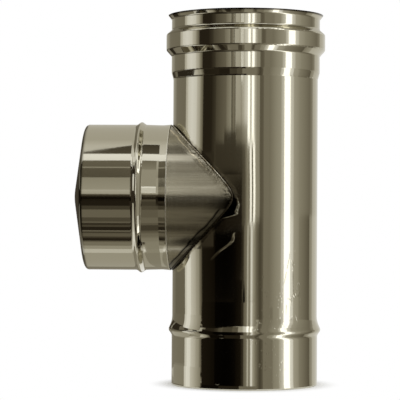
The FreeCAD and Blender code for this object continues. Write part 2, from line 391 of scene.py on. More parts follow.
# %% Cards at the foot
FOOT_ROW = (0.5 * MM, CARD_GAP)
NEAR_ROW = (CARD_GAP, 0.2)
FRONT_ROW = (0.2, PALE_REACH)
FLOOR_CARDS = {
    "near_dark": ((-72, -35), NEAR_ROW, 0.055),
    "near_brown": ((-35, -12), NEAR_ROW, 0.11),
    "near_mid": ((-12, -4), NEAR_ROW, 0.2),
    "near_pale": ((-4, 19), NEAR_ROW, 0.37),
    "foot_dark": ((-72, -40), FOOT_ROW, 0.01),
    "foot_brown": ((-40, -8), FOOT_ROW, 0.035),
    "foot_pale": ((-8, 19), FOOT_ROW, 0.25),
    "front_dark": ((-72, -8), FRONT_ROW, 0.035, 0.06),
    "front_pale": ((-8, 19), FRONT_ROW, 0.3),
}
for name, card in FLOOR_CARDS.items():
    floor_board(name, *card)
LEFT_GAP = 8 * MM
LEFT_LIFT = 0.9 * MM
LEFT_CARDS = {"foot": ((0, 11 * MM), 0.36), "bead": ((35.8 * MM, 39.2 * MM), 0.24)}
for name, (heights, glow) in LEFT_CARDS.items():
    wall_board(name + "_left", (-150, -109), heights, glow, radius=LEFT_GAP)
    wall_board(name + "_cream_left", (-109, -103), heights, 0.8, 1.0, radius=LEFT_GAP)
    wall_board(name + "_cream", (-103, -94), heights, 1.1, 1.05, radius=LEFT_GAP)
    wall_board(name + "_fade", (-94, -72), heights, 0.85, 0.34, radius=LEFT_GAP)
floor_board("left_pale", (-146, -109), (0.02, 0.15), 0.33, lift=LEFT_LIFT)
floor_board("left_drab", (-146, -109), (0.15, 0.4), 0.29, lift=LEFT_LIFT)
wall_board("slip_card", (-16, -4), (0.042, 0.0565), 0.005, 0.02, radius=0.06)
print(len(FLOOR_CARDS), "cards on the floor,", len(BOARDS), "boards so far")

# %% [markdown]
# Three sets of boards stand inside the ring, because they are bands over only part of the tube's
# height. The ring's own boards could be cut up for them, but a strip that stands in front can be
# changed by itself. A low brown fold stands between the dark boards and the beige ones over them,
# with the double bright line on its right. Two dark rods stand before the beige boards, and cards
# darken the upper flank of the stop bead. One small card comes between the softbox and the cap's
# bead, which would be one bright ring without it.

# %% Fold, rods and flank
FOLD_RADIUS = 1.44
FOLD_FOOT = 0.126
FOLD_TOP = 0.188
CREST_TOP = 0.212
BODY_FOLD = (FOLD_FOOT, FOLD_TOP)
LINE_FOLD = (EYE, FOLD_TOP)
CREST = (FOLD_TOP, CREST_TOP)
ROD = (0.19, 0.6)
FOLD = {
    "fold": ((-47, -5.5), BODY_FOLD, 0.075, 0.085),
    "fold_crest": ((-33, -15), (FOLD_TOP, 0.203), 0.08),
    "fold_crest_right": ((-15, -5.5), CREST, 0.2, 0.27),
    "fold_crest_edge": ((-5.5, 3), CREST, 0.3, 0.48),
    "fold_foot": ((-47, -5.5), (EYE, FOLD_FOOT), 0.01, 0.03),
    "fold_edge": ((-5.5, 0), LINE_FOLD, 0.1, 0.16),
    "fold_strip": ((0, 4), LINE_FOLD, 0.22, 0.4),
    "fold_gap": ((4, 7.1), LINE_FOLD, 0.3, 0.36),
    "fold_left": ((7.1, 10), LINE_FOLD, 1.6, 1.5),
    "fold_middle": ((10, 12.4), LINE_FOLD, 0.24),
    "fold_right": ((12.4, 15.5), LINE_FOLD, 1.9, 1.6),
    "fold_fall": ((15.5, 18.6), LINE_FOLD, 0.55, 0.4),
    "rod_left": ((-21.8, -20.5), ROD, 0.12),
    "rod_right": ((-16.8, -15.7), ROD, 0.16),
}
FLANK_RADIUS = 1.35
FLANK_HEIGHTS = (0.6, 0.86)
FLANK = {"flank_left": ((-146, -103), 0.09), "flank_cream": ((-103, -94), 0.5),
         "flank_fade": ((-94, -74), 0.05)}
for name, card in FOLD.items():
    wall_board(name, *card, radius=FOLD_RADIUS)
for name, (turns, glow) in FLANK.items():
    wall_board(name, turns, FLANK_HEIGHTS, glow, radius=FLANK_RADIUS)
wall_board("bead_card", (38, 58.5), (0.04, 0.2), 0.28, 0.5, radius=0.085)
print(len(FOLD) + len(FLANK), "boards inside the ring")

# %% [markdown]
# The branch lies on its side, so it mirrors an arch of boards: from the floor in front, up over the
# top and down behind. One row of boards would give the same bands all along it. But the cap's wall,
# its skirt and the stub each mirror a strip of the room of their own, since the skirt widens
# towards the bead and so looks further to the right. So the arch is cut across between those
# strips.

# %% The arch over the branch
CAP_EDGES = (-0.4, -0.187)
STUB_EDGES = (-0.187, -0.14)
SKIRT_EDGES = (-0.14, -0.03)
WIDE_EDGES = (-1.2, 0.7)
ARCH = {
    "cap_beige": ((3, 11), CAP_EDGES, 0.52, 0.64),
    "cap_drab": ((11, 30), CAP_EDGES, 0.48, 0.4),
    "cap_dark": ((30, 45.5), CAP_EDGES, 0.15, 0.17),
    "cap_line": ((45.5, 47.5), CAP_EDGES, 0.4, 0.4),
    "cap_olive": ((47.5, 58.5), CAP_EDGES, 0.2, 0.22),
    "stub_pale": ((3, 30), STUB_EDGES, 0.55, 0.5),
    "stub_rise": ((30, 58.5), STUB_EDGES, 0.42, 0.6),
    "patch": ((6.5, 16), (-0.128, -0.04), 1.3, 1.2),
    "skirt_drab": ((16, 43), SKIRT_EDGES, 0.45, 0.46),
    "skirt_dark": ((43, 58.5), SKIRT_EDGES, 0.36, 0.26),
    "arch_cream": ((58.5, 70), WIDE_EDGES, 1.1, 1.2),
    "arch_upper": ((70, 90), WIDE_EDGES, 0.85, 0.72),
    "arch_top": ((90, 100), WIDE_EDGES, 0.7, 0.6),
    "arch_rear": ((100, 178), WIDE_EDGES, 0.58, 0.6),
}
INNER_RADIUS = 1.48


def arch_board(name, rises, left, right, glow_from, glow_to=None, radius=WALL_RADIUS):
    """A board on the arch over the branch. Its rises are degrees above the camera's side.

    Each of left and right is its edge's X, or a pair: the edge's X at its first and last rise.
    """
    angles = spread(rises)
    edges = [edge if isinstance(edge, tuple) else (edge, edge) for edge in (left, right)]
    rows = []
    for number, angle in enumerate(angles):
        share = number / (len(angles) - 1)
        rows.append([(first + (last - first) * share, -radius * math.cos(angle),
                      BRANCH_HEIGHT + radius * math.sin(angle)) for first, last in edges])
    board(name, rows, glow_from, glow_to)


for name, (rises, edges, start, end) in ARCH.items():
    arch_board(name, rises, *edges, start, end)
arch_board("patch_inner", (7, 14), -0.115, -0.055, 0.85, radius=INNER_RADIUS)
arch_board("wedge", (71, 90), (-0.275, -0.19), (0.25, 0.35), 0.14, 0.09, radius=INNER_RADIUS)
arch_board("fillet_arch", (16, 56), -0.8, -0.4, 0.09, 0.12)
print(len(ARCH) + 3, "boards on the arch")

# %% [markdown]
# The underside of the branch looks down at the floor, so narrow slips of card lie there: one row
# for the cap and one for what is beside it. A painted sheet could do the same, but a slip is one
# line of a table, and so is easy to move. They are placed as the ring is, by how far below level a
# slip is seen. A slip's edges drift sideways as it lies further out, since the camera sees the
# branch a little from one side.

# %% Slips under the branch
SLIP_LIFT = 1.2 * MM
# From this fall on, a slip lies under the branch itself, and the right row is narrower
UNDER_FALL = 76
CAP_ZONE = ((-0.100, -0.14), (-0.056, -0.055))
SKIRT_ZONE = ((-0.056, -0.055), (-0.024, 0.01))
UNDER_ZONE = ((-0.056, 0), (-0.045, 0))
STUB_ZONE = ((-0.02, -0.034), (0.03, 0.02))
FILLET_ZONE = ((-0.12, -0.45), (-0.1, -0.14))
SLIPS = {
    "dusk": ((3, 7), 0.03, 0.14),
    "umber": ((7, 14), 0.034, 0.1),
    "brown": ((14, 20), 0.095, 0.14),
    "olive": ((20, 32.5), 0.23, 0.2),
    "dark": ((32.5, 39), 0.13, 0.24),
    "stripe_a": ((39, 41.5), 0.2, 0.24),
    "stripe_b": ((41.5, 45), 0.07, 0.18),
    "stripe_c": ((45, 48), 0.12, 0.1),
    "stripe_d": ((48, 54), 0.04, 0.1),
    "stripe_e": ((54, 56), 0.24, 0.16),
    "stripe_f": ((56, 59), 0.1, 0.2),
    "drab": ((59, 65), 0.19, 0.26),
    "dim": ((65, 68), 0.09, 0.3),
    "black": ((68, 73), 0.04, 0.34),
    "dim_rear": ((73, 75.5), 0.2, 0.36),
    "pale": ((75.5, 83), 0.3, 0.38),
    "paler": ((83, 90), 0.46, 0.38),
    "cream": ((90, 99), 0.74, 0.4),
    "rear": ((99, 146), 0.5, 0.36),
}


def slip_board(name, falls, glow, zone):
    """A slip of card on the floor before the branch, seen at these degrees below level.

    A zone is the X of both its edges at the tee, and how far each of them drifts per metre.
    """
    rows = []
    for fall in map(math.radians, falls):
        drop = BRANCH_HEIGHT - STUB_RADIUS * math.sin(fall / 2) - SLIP_LIFT
        away = STUB_RADIUS * math.cos(fall / 2) + drop / math.tan(fall)
        rows.append([(edge + drift * max(away, 0), -away, SLIP_LIFT) for edge, drift in zone])
    board(name, rows, glow)


for name, (falls, cap_glow, skirt_glow) in SLIPS.items():
    slip_board(name + "_cap", falls, cap_glow, CAP_ZONE)
    zone = SKIRT_ZONE if falls[1] < UNDER_FALL else UNDER_ZONE
    slip_board(name + "_skirt", falls, skirt_glow, zone)
slip_board("stub_dark", (4, 15), 0.01, STUB_ZONE)
slip_board("fillet", (16, 60), 0.035, FILLET_ZONE)
print(2 * len(SLIPS) + 2, "slips")

# %% [markdown]
# Dark cloth hangs on the left and behind, where only the branch looks. It darkens the cap's corner,
# its cone and the foot of its bead. The ring's boards could be darkened there instead, but a cloth
# covers just the heights that need it. One piece hangs close to the cap's end, between the heights
# where the tube looks that way.

# %% Dark cloths
CLOTH_RADIUS = 1.3
CLOTHS = {
    "cone_cloth": ((-186, -150), (0.06, 0.18), 0.07),
    "corner_cloth": ((-150, -100), (0.06, 0.18), 0.12, 0.09),
    "corner_cloth_front": ((-100, -72), (0.06, 0.145), 0.09, 0.05),
    "left_cloth": ((-170, -112), (0.4, 1.6), 0.25, 0.22),
}
for name, cloth in CLOTHS.items():
    wall_board(name, *cloth, radius=CLOTH_RADIUS)
CAP_CLOTH_GAP = 240 * MM
CAP_CLOTH_TURNS = (-75, 62)
CAP_CLOTH_HEIGHTS = (BRANCH_HEIGHT - 29 * MM, BRANCH_HEIGHT + 30 * MM)
CAP_CLOTH = [[(CAP_LOW.x - CAP_CLOTH_GAP * math.cos(turn), -CAP_CLOTH_GAP * math.sin(turn), height)
              for height in CAP_CLOTH_HEIGHTS] for turn in spread(CAP_CLOTH_TURNS)]
board("cap_cloth", CAP_CLOTH, 0.045, 0.06)
print(len(BOARDS), "boards round the tee")

# %% [markdown]
# Bright annealed sheet is the mirror finish that a rolling mill gives stainless steel. It reflects
# a little under two thirds of the light, and slightly more red than blue, which reads as warm
# silver. A perfectly even mirror looks false. So the sheet is a little out of true in long waves,
# fine lines run the way that it was rolled, and it is duller where hands have been.
#
# The roll lines are 0.02 mm wide on real sheet. They are drawn 1.4 mm wide here, because finer ones
# wouldn't show at all. Both the lines and the waves are noise that is stretched the way the sheet
# was rolled, and both are relief only: faces this fine would be far too many.

# %% Bright sheet
STEEL = "#cbc7b6"
SMUDGE_SIZE = 28 * MM
ROLL_LINE = 1.4 * MM
ROLL_LINE_RUN = 84 * MM
ROLL_LINE_DEPTH = 0.0012 * MM
WAVE_SIZE = 45 * MM
WAVE_RUN = 135 * MM
WAVE_DEPTH = 0.05 * MM


def grain(tree, place, sizes, detail):
    """Noise whose patches have these sizes along X, Y and Z."""
    scaled = add(tree, MAPPING, {"Vector": place, "Scale": [1 / size for size in sizes]})
    return add(tree, NOISE, {"Vector": scaled, "Scale": 1.0, "Detail": detail})


def relief(tree, layers, normal=None):
    """A surface bent by one height after another. Each has a depth, and below 0 it goes inwards."""
    for height, depth in layers:
        bend = add(tree, BUMP, {"Height": height, "Distance": abs(depth)}, invert=depth < 0)
        if normal:
            tree.links.new(normal.outputs[0], bend.inputs["Normal"])
        normal = bend
    return normal


def rolled_sheet(tree, place, run_axis):
    """Roughness and relief of bright sheet whose lines run along X (0), Y (1) or Z (2)."""
    smudges = noise(tree, place, SMUDGE_SIZE, 4.0)
    haze = ramp(tree, smudges, 0.35, 0.75, 0.04, 0.07)
    line_sizes = [ROLL_LINE] * 3
    line_sizes[run_axis] = ROLL_LINE_RUN
    wave_sizes = [WAVE_SIZE] * 3
    wave_sizes[run_axis] = WAVE_RUN
    return haze, relief(tree, ((grain(tree, place, wave_sizes, 0.0), WAVE_DEPTH),
                               (grain(tree, place, line_sizes, 3.0), ROLL_LINE_DEPTH)))


print("roll lines drawn", ROLL_LINE / MM, "mm wide, waves", WAVE_SIZE / MM, "mm")

# %% [markdown]
# Where the stub meets the tube, welding has left its marks: a black edge, which is partly oxide and
# partly painted shade, a crossed band from the grinder, sheet that has sunk towards the seam, and a
# crease where it buckled. All of them follow the seam, so every material there needs the distance
# to it. It could be painted onto the meshes, or stored on their points. On the tube the seam lies
# where the height over the branch's axis nearly equals the way back to the tube's axis, so a few
# sums give the distance, and the marks stay on the seam whatever its size. Most of them are
# strongest on one line and fade to both sides of it, which is a bell curve over that distance.

# %% Distance to the seam
# The gap is measured along X, and the seam leans, so the true distance is this much shorter
SEAM_LEAN = 1.35


def off_seam_on_tube(tree, place):
    """How far a place on the main tube is from the seam, and how high over the branch's axis."""
    x, y, z = add(tree, "ShaderNodeSeparateXYZ", {"Vector": place}).outputs
    rise = calc(tree, "SUBTRACT", z, BRANCH_HEIGHT)
    square = calc(tree, "POWER", rise, 2.0)
    full = calc(tree, "ADD", square, BODY_RADIUS ** 2 - STUB_RADIUS ** 2)
    seam = calc(tree, "SQRT", full)
    gap = calc(tree, "ADD", seam, x)
    return calc(tree, "DIVIDE", gap, SEAM_LEAN), rise


def off_seam_on_stub(tree, place):
    """How far a place on the stub is from the seam along the branch, and how high over its axis."""
    x, y, z = add(tree, "ShaderNodeSeparateXYZ", {"Vector": place}).outputs
    rise = calc(tree, "SUBTRACT", z, BRANCH_HEIGHT)
    square = calc(tree, "MULTIPLY", y, y)
    rest = calc(tree, "SUBTRACT", BODY_RADIUS ** 2, square)
    seam = calc(tree, "SQRT", rest)
    total = calc(tree, "ADD", x, seam)
    return calc(tree, "MULTIPLY", total, -1.0), rise


def bell(tree, off, width):
    """1 on a line, fading to both sides of it over about this width."""
    share = calc(tree, "DIVIDE", off, width)
    square = calc(tree, "MULTIPLY", share, share)
    fall = calc(tree, "MULTIPLY", square, -1.0)
    return calc(tree, "EXPONENT", fall)


print("the seam starts", round((BODY_RADIUS ** 2 - STUB_RADIUS ** 2) ** 0.5 / MM, 2), "mm off axis")

# %% [markdown]
# The scorch is a thin black edge all along the seam: partly the oxide that the torch burnt onto the
# sheet, and partly painted shade for the gap by the weld. It is widest under the front tip, where
# the torch lingered and where the painted shade reaches furthest. Its rim could be a sharp line,
# but burnt sheet swells a little there, so it also gets a fine ridge that catches the light.

# %% Scorch and painted shade
# Heights over the branch's axis, where the scorch and its painted shade start to bulge, are widest
# and are thin again
SCORCH_SHADE_FOOT = -11.6 * MM
SCORCH_SHADE_FULL = -9.4 * MM
SCORCH_SHADE_TOP = 0.5 * MM
SCORCH_SHADE_WIDTH = 0.7 * MM
SCORCH_SHADE_BULGE = 4.2 * MM
SCORCH_SHADE_FADE = 0.5 * MM
RIDGE_OUT = 0.7 * MM
RIDGE_WIDTH = 0.45 * MM
RIDGE_DEPTH = 0.13 * MM


def scorch_shade_and_ridge(tree, gap, rise, front):
    """1 on the black edge of oxide and painted shade, and 1 on the ridge round its bulge."""
    lower = ramp(tree, rise, SCORCH_SHADE_FOOT, SCORCH_SHADE_FULL)
    upper = ramp(tree, rise, SCORCH_SHADE_FULL, SCORCH_SHADE_TOP, 1, 0)
    both = calc(tree, "MULTIPLY", lower, upper)
    bulge = calc(tree, "MULTIPLY", both, front)
    reach = calc(tree, "MULTIPLY_ADD", bulge, SCORCH_SHADE_BULGE, SCORCH_SHADE_WIDTH)
    over = calc(tree, "SUBTRACT", gap, reach)
    scorch_and_shade = ramp(tree, over, 0, SCORCH_SHADE_FADE, 1, 0)
    off_ridge = calc(tree, "SUBTRACT", over, RIDGE_OUT)
    ridge = bell(tree, off_ridge, RIDGE_WIDTH)
    return scorch_and_shade, calc(tree, "MULTIPLY", ridge, bulge)


print("scorch_and_shade", SCORCH_SHADE_WIDTH / MM, "to", round((SCORCH_SHADE_WIDTH + SCORCH_SHADE_BULGE) / MM, 1), "mm wide")

# %% [markdown]
# The weld shrank as it cooled and pulled the sheet in round it, most of all by the two tips. Below
# the front tip the sheet buckled into one short, bowed crease. Both are too shallow to need faces
# of their own: a mirror shows a bend of a few hundredths of a millimetre, so relief is enough.

# %% Sunk sheet and crease
SINK_WIDTH = 11 * MM
SINK_DEPTH = 0.1 * MM
SINK_HEIGHTS = (12 * MM, 28 * MM)
CREASE_AT = 12.9 * MM
CREASE_OUT = 1.2 * MM
CREASE_BACK = 2.2 * MM
CREASE_WIDTH = 0.42 * MM
CREASE_DEPTH = 0.13 * MM
# Heights over the branch's axis between which the crease appears, bows out, turns back and ends
CREASE_APPEARS = (-35 * MM, -26 * MM)
CREASE_BOWS = (-29 * MM, -25.5 * MM)
CREASE_TURNS = (-23.5 * MM, -19.5 * MM)
CREASE_ENDS = (-21.5 * MM, -19 * MM)


def sunk_sheet(tree, gap, rise):
    """How far the sheet has sunk towards the seam, from 0 to 1."""
    level = calc(tree, "ABSOLUTE", rise)
    by_tip = ramp(tree, level, *SINK_HEIGHTS, 1, 0.15)
    return calc(tree, "MULTIPLY", bell(tree, gap, SINK_WIDTH), by_tip)


def creased(tree, gap, rise, front):
    """1 on the crest of the crease, which bows out and then back as it rises."""
    out = ramp(tree, rise, *CREASE_BOWS, CREASE_AT, CREASE_AT + CREASE_OUT)
    back = ramp(tree, rise, *CREASE_TURNS, 0, CREASE_BACK)
    bow = calc(tree, "SUBTRACT", out, back)
    off_crest = calc(tree, "SUBTRACT", gap, bow)
    above = ramp(tree, rise, *CREASE_APPEARS)
    below = ramp(tree, rise, *CREASE_ENDS, 1, 0)
    between = calc(tree, "MULTIPLY", below, above)
    shown = calc(tree, "MULTIPLY", between, front)
    return calc(tree, "MULTIPLY", bell(tree, off_crest, CREASE_WIDTH), shown)


print("crease", CREASE_AT / MM, "mm from the seam")

# %% [markdown]
# Use has left fine scratches and pinprick dents on the right side of the tube, below its middle.
# The scratches are the edges between the cells of a Voronoi pattern, broken up by noise, and the
# dents are the middles of smaller cells. Each could be drawn by hand, but the eye only takes in how
# many there are and how long, and the pattern gives that.

# %% Scratches and dents
SCRATCH_SPACE = 9 * MM
SCRATCH_STRETCH = (1.6, 1.6, 0.5)
SCRATCH_BREAK = 6 * MM
SCRATCHED = (27 * MM, -29 * MM, 54 * MM)
SCRATCHED_REACH = (5 * MM, 5 * MM, 18 * MM)
SCRATCH_DEPTH = 0.06 * MM
PIT_SPACE = 1.9 * MM
PITTED = (15 * MM, -36 * MM, 30 * MM)
PITTED_REACH = (11 * MM, 16 * MM, 36 * MM)
PIT_DEPTH = 0.03 * MM


def round_about(tree, place, middle, reach, full, none):
    """1 round a point, out to a share of its reach each way, and 0 from a larger share on."""
    away = add(tree, VECTOR_MATH, {0: place, 1: middle}, operation="SUBTRACT")
    shares = add(tree, VECTOR_MATH, {0: away, 1: reach}, operation="DIVIDE")
    distance = add(tree, VECTOR_MATH, {0: shares}, operation="LENGTH").outputs["Value"]
    return ramp(tree, distance, full, none, 1, 0)


def scratches(tree, place):
    """1 on a fine scratch in the worn area, and 0 elsewhere."""
    stretched = add(tree, MAPPING, {"Vector": place, "Scale": SCRATCH_STRETCH})
    cells = add(tree, "ShaderNodeTexVoronoi", {"Vector": stretched, "Scale": 1 / SCRATCH_SPACE},
                feature="DISTANCE_TO_EDGE")
    line = ramp(tree, cells, 0.012, 0.03, 1, 0)
    broken = noise(tree, place, SCRATCH_BREAK, 1.0)
    parts = ramp(tree, broken, 0.5, 0.56)
    worn = round_about(tree, place, SCRATCHED, SCRATCHED_REACH, 0.8, 1.3)
    both = calc(tree, "MULTIPLY", line, parts)
    return calc(tree, "MULTIPLY", both, worn)


def pits(tree, place):
    """1 in a pinprick dent on the lower right, and 0 elsewhere."""
    cells = add(tree, "ShaderNodeTexVoronoi", {"Vector": place, "Scale": 1 / PIT_SPACE})
    dots = ramp(tree, cells, 0.1, 0.24, 1, 0)
    worn = round_about(tree, place, PITTED, PITTED_REACH, 0.6, 1.1)
    return calc(tree, "MULTIPLY", dots, worn)


print("scratches about", SCRATCH_SPACE / MM, "mm apart, dents", PIT_SPACE / MM, "mm")

# %% [markdown]
# The main tube puts all of this together. On its hidden side a fine welded line also runs from rim
# to rim, where the rolled sheet was closed, and a line of painted shade runs round the top rim, for
# the shaded inside of the lip. Where the grinder, the weld line or a scratch has cut the mirror
# finish, the steel is duller. Each mark could be a shader of its own, mixed over the steel. But all
# of it is the same metal, so one shader is enough, with its colour, roughness and relief built up
# in layers.

# %% Main tube
GRIND_GRAIN = 2.5 * MM
GRIND_WIDTH = 2.6 * MM
GRIND_DEPTH = 0.12 * MM
RAGGED = 0.3 * MM
SEAM_LINE = 1.2 * MM
SEAM_LINE_DEPTH = 0.05 * MM
RIM_LINE = 0.55 * MM
WORN_ROUGHNESS = 0.14


def layered(tree, code, layers):
    """A colour with more colours over it, each as strong as its share says."""
    colour = linear(code)
    for share, over in layers:
        colour = add(tree, MIX, {"Factor": share, "A": colour, "B": linear(over)},
                     data_type="RGBA").outputs["Result"]
    return colour


def main_tube_steel():
    """Mirror-bright rolled sheet with the marks of its welds and its use."""
    material, tree = new_material("bright_annealed_stainless")
    place = add(tree, "ShaderNodeTexCoord").outputs["Object"]
    x, y, z = add(tree, "ShaderNodeSeparateXYZ", {"Vector": place}).outputs
    haze, normal = rolled_sheet(tree, place, 2)
    gap, rise = off_seam_on_tube(tree, place)
    front = calc(tree, "LESS_THAN", y, 0.0)
    back = calc(tree, "GREATER_THAN", y, 0.0)
    # What the welder left
    cloud = noise(tree, place, GRIND_GRAIN, 3.0)
    uneven = ramp(tree, cloud, 0.3, 0.7, -RAGGED, RAGGED)
    ragged = calc(tree, "ADD", gap, uneven)
    # Painted shade: the black edge stands partly for the shaded gap by the weld, and is widest
    # under the front tip
    scorch_and_shade, ridge = scorch_shade_and_ridge(tree, ragged, rise, front)
    ground = ramp(tree, ragged, 0, GRIND_WIDTH, 1, 0)
    marks = calc(tree, "MULTIPLY", cloud, ground)
    off_line = calc(tree, "ABSOLUTE", x)
    line = ramp(tree, off_line, SEAM_LINE / 2, SEAM_LINE, 1, 0)
    seam = calc(tree, "MULTIPLY", line, back)
    scratched = scratches(tree, place)
    normal = relief(tree, (
        (sunk_sheet(tree, gap, rise), -SINK_DEPTH), (ridge, RIDGE_DEPTH),
        (creased(tree, gap, rise, front), CREASE_DEPTH), (marks, GRIND_DEPTH),
        (seam, SEAM_LINE_DEPTH), (scratched, SCRATCH_DEPTH),
        (pits(tree, place), -PIT_DEPTH)), normal)
    cut = calc(tree, "MAXIMUM", ground, seam)
    worn = calc(tree, "MAXIMUM", cut, scratched)
    roughness = calc(tree, "MULTIPLY_ADD", worn, WORN_ROUGHNESS, haze)
    # Painted shade: the top rim is darkened for the shaded inside of the lip
    painted_rim_band = ramp(tree, z, TUBE_HIGH.z - 2 * RIM_LINE, TUBE_HIGH.z - RIM_LINE)
    # Bare steel, straw where it was ground, then black oxide with painted shade, and a painted
    # shade line on the rim
    colour = layered(tree, STEEL, ((ground, "#8d836a"), (scorch_and_shade, "#1c1711"), (painted_rim_band, "#4a453a")))
    shader = add(tree, "ShaderNodeBsdfPrincipled", {
        "Base Color": colour, "Metallic": 1.0, "Roughness": roughness, "Normal": normal})
    add(tree, "ShaderNodeOutputMaterial", {"Surface": shader})
    return material


TUBE_STEEL = main_tube_steel()
print(TUBE_STEEL.name, len(TUBE_STEEL.node_tree.nodes), "nodes")

# %% [markdown]
# The cap is drawn from one disc of the same bright sheet. It could share the tube's material, but
# the press stretches the disc, so its lines and faint waves run round it, not along it. Its open
# rim was trimmed, which left a dull ring, and a painted highlight on it stands for the light that
# its cut edge catches from every side. A darker line of painted dark reflection runs round the
# corner.

# %% Cap
CAP_RIM_LINE = 0.3 * MM
CAP_RIM_ROUGHNESS = 0.45
CORNER_AT = 7.5 * MM
CORNER_WIDTH = 0.9 * MM


def cap_steel():
    """Mirror-bright drawn sheet with a dulled rim that has a painted highlight, and a painted dark
    reflection on its corner.
    """
    material, tree = new_material("deep_drawn_stainless")
    place = add(tree, "ShaderNodeTexCoord").outputs["Object"]
    x = add(tree, "ShaderNodeSeparateXYZ", {"Vector": place}).outputs["X"]
    haze, normal = rolled_sheet(tree, place, 1)
    painted_rim_band = ramp(tree, x, CAP_HIGH.x - 2 * CAP_RIM_LINE, CAP_HIGH.x - CAP_RIM_LINE)
    roughness = calc(tree, "MULTIPLY_ADD", painted_rim_band, CAP_RIM_ROUGHNESS, haze)
    off_corner = calc(tree, "SUBTRACT", x, CAP_LOW.x + CORNER_AT)
    corner_dark_reflection = bell(tree, off_corner, CORNER_WIDTH)
    # Painted dark reflection on the corner, and a painted highlight on the dull rim
    colour = layered(tree, STEEL, ((corner_dark_reflection, "#5d584a"), (painted_rim_band, "#f1eee0")))
    shader = add(tree, "ShaderNodeBsdfPrincipled", {
        "Base Color": colour, "Metallic": 1.0, "Roughness": roughness, "Normal": normal})
    add(tree, "ShaderNodeOutputMaterial", {"Surface": shader})
    return material


CAP_STEEL = cap_steel()
print(CAP_STEEL.name, len(CAP_STEEL.node_tree.nodes), "nodes")

# %% [markdown]
# The stub has its own marks by the seam, all of them painted light. Over the front tip a painted
# highlight runs along the weld's toe, where its fillet catches the light, and under the tip the toe
# has a painted dark reflection. A patch of painted shade lies under the tip itself. These could be
# faces with their own materials, but they have soft edges, which masks over one material give. The
# toe wanders a little, because a hand held the torch.

# %% Painted highlight and shade by the stub's toe
TOE_AT = 3.4 * MM
TOE_WIDTH = 0.5 * MM
TOE_WANDER = 0.6 * MM
TOE_WANDER_RUN = 7 * MM
TOE_HIGHLIGHT = 0.6
DARK_TOE_WIDTH = 1 * MM
TIP_SHADE_REACH = (1 * MM, 13 * MM)
# Heights over the branch's axis: where the toe's painted highlight grows in, where its painted dark
# reflection thins out going up, and where the painted shade under the tip starts and ends
HIGHLIGHT_FROM = (12 * MM, 20 * MM)
DARK_TOE_TO = (-7 * MM, -3 * MM)
TIP_SHADE_FROM = (-9 * MM, -6 * MM)
TIP_SHADE_TO = (-1.6 * MM, 0.2 * MM)


def toe_highlight_and_dark_reflection(tree, place, gap, rise):
    """1 on the toe's painted highlight over the tip, and 1 on its painted dark reflection under it.
    """
    drift = noise(tree, place, TOE_WANDER_RUN, 1.0)
    wander = ramp(tree, drift, 0.3, 0.7, -TOE_WANDER, TOE_WANDER)
    wandering = calc(tree, "ADD", gap, wander)
    off_toe = calc(tree, "SUBTRACT", wandering, TOE_AT)
    toe = bell(tree, off_toe, TOE_WIDTH)
    over = ramp(tree, rise, *HIGHLIGHT_FROM, 0, TOE_HIGHLIGHT)
    under = ramp(tree, rise, *DARK_TOE_TO, 1, 0)
    # The painted dark reflection is wider than the highlight and fills in towards the seam
    wide_toe = calc(tree, "POWER", toe, 0.35)
    between = ramp(tree, wandering, TOE_AT - DARK_TOE_WIDTH, TOE_AT, 0.5, 0)
    scaled = calc(tree, "MAXIMUM", wide_toe, between)
    return (calc(tree, "MULTIPLY", toe, over), calc(tree, "MULTIPLY", scaled, under))


def tip_shade(tree, gap, rise):
    """1 in the painted shade on the front tip, just under the branch's axis."""
    near_tip = ramp(tree, gap, *TIP_SHADE_REACH, 1, 0)
    start = ramp(tree, rise, *TIP_SHADE_FROM)
    end = ramp(tree, rise, *TIP_SHADE_TO, 1, 0)
    band = calc(tree, "MULTIPLY", start, end)
    return calc(tree, "MULTIPLY", near_tip, band)


print("toe", TOE_AT / MM, "mm from the seam")

# %% [markdown]
# The stub was brushed round its own axis. Each brush line is a groove too fine to see, and all of
# them spread a reflection along the branch but hardly round it, so soft bands remain. They could be
# drawn as relief, but relief this fine would only look like grain. An anisotropic shader gives the
# soft bands without a line being drawn. A few coarser lines, drawn 0.5 mm wide, show which way the
# brush went. Towards the seam the steel's colour is darkened as painted shade of the main tube, in
# streaks, and the grinder's marks cross it.

# %% Brushed stub
BRUSH_LINE = 0.5 * MM
BRUSH_RUN = 25 * MM
BRUSH_DEPTH = 0.0005 * MM
STREAK_WIDTH = 1.8 * MM
STREAK_RUN = 45 * MM
GRIME_WIDTH = 24 * MM
MOTTLE_GRAIN = 2.2 * MM
MOTTLE_WIDTH = 6 * MM
MOTTLE_DEPTH = 0.45 * MM
MOTTLE_RISE = (-2 * MM, 6 * MM)


def mottled(tree, place, gap, rise):
    """The grinder's marks by the seam, which are weaker under the tip."""
    cloud = noise(tree, place, MOTTLE_GRAIN, 2.0)
    near_seam = ramp(tree, gap, 0, MOTTLE_WIDTH, 1, 0)
    over_tip = ramp(tree, rise, *MOTTLE_RISE, 0.25)
    strength = calc(tree, "MULTIPLY", near_seam, over_tip)
    return calc(tree, "MULTIPLY", cloud, strength)


def painted_shade_and_streaks(tree, place):
    """Painted shade that darkens the stub towards the main tube, in streaks along the branch."""
    streaks = grain(tree, place, (STREAK_RUN, STREAK_WIDTH, STREAK_WIDTH), 3.0)
    # Distance from the tube's axis, which is least all along the seam and its tips
    across = add(tree, VECTOR_MATH, {0: place, 1: (1, 1, 0)}, operation="MULTIPLY")
    radius = add(tree, VECTOR_MATH, {0: across}, operation="LENGTH").outputs["Value"]
    # Painted shade: darker near the main tube, which shades the stub there
    away = ramp(tree, radius, BODY_RADIUS, BODY_RADIUS + GRIME_WIDTH, 0.75, 0)
    streaked = ramp(tree, streaks, 0.35, 0.65, -0.1, 0.2)
    return calc(tree, "ADD", away, streaked)


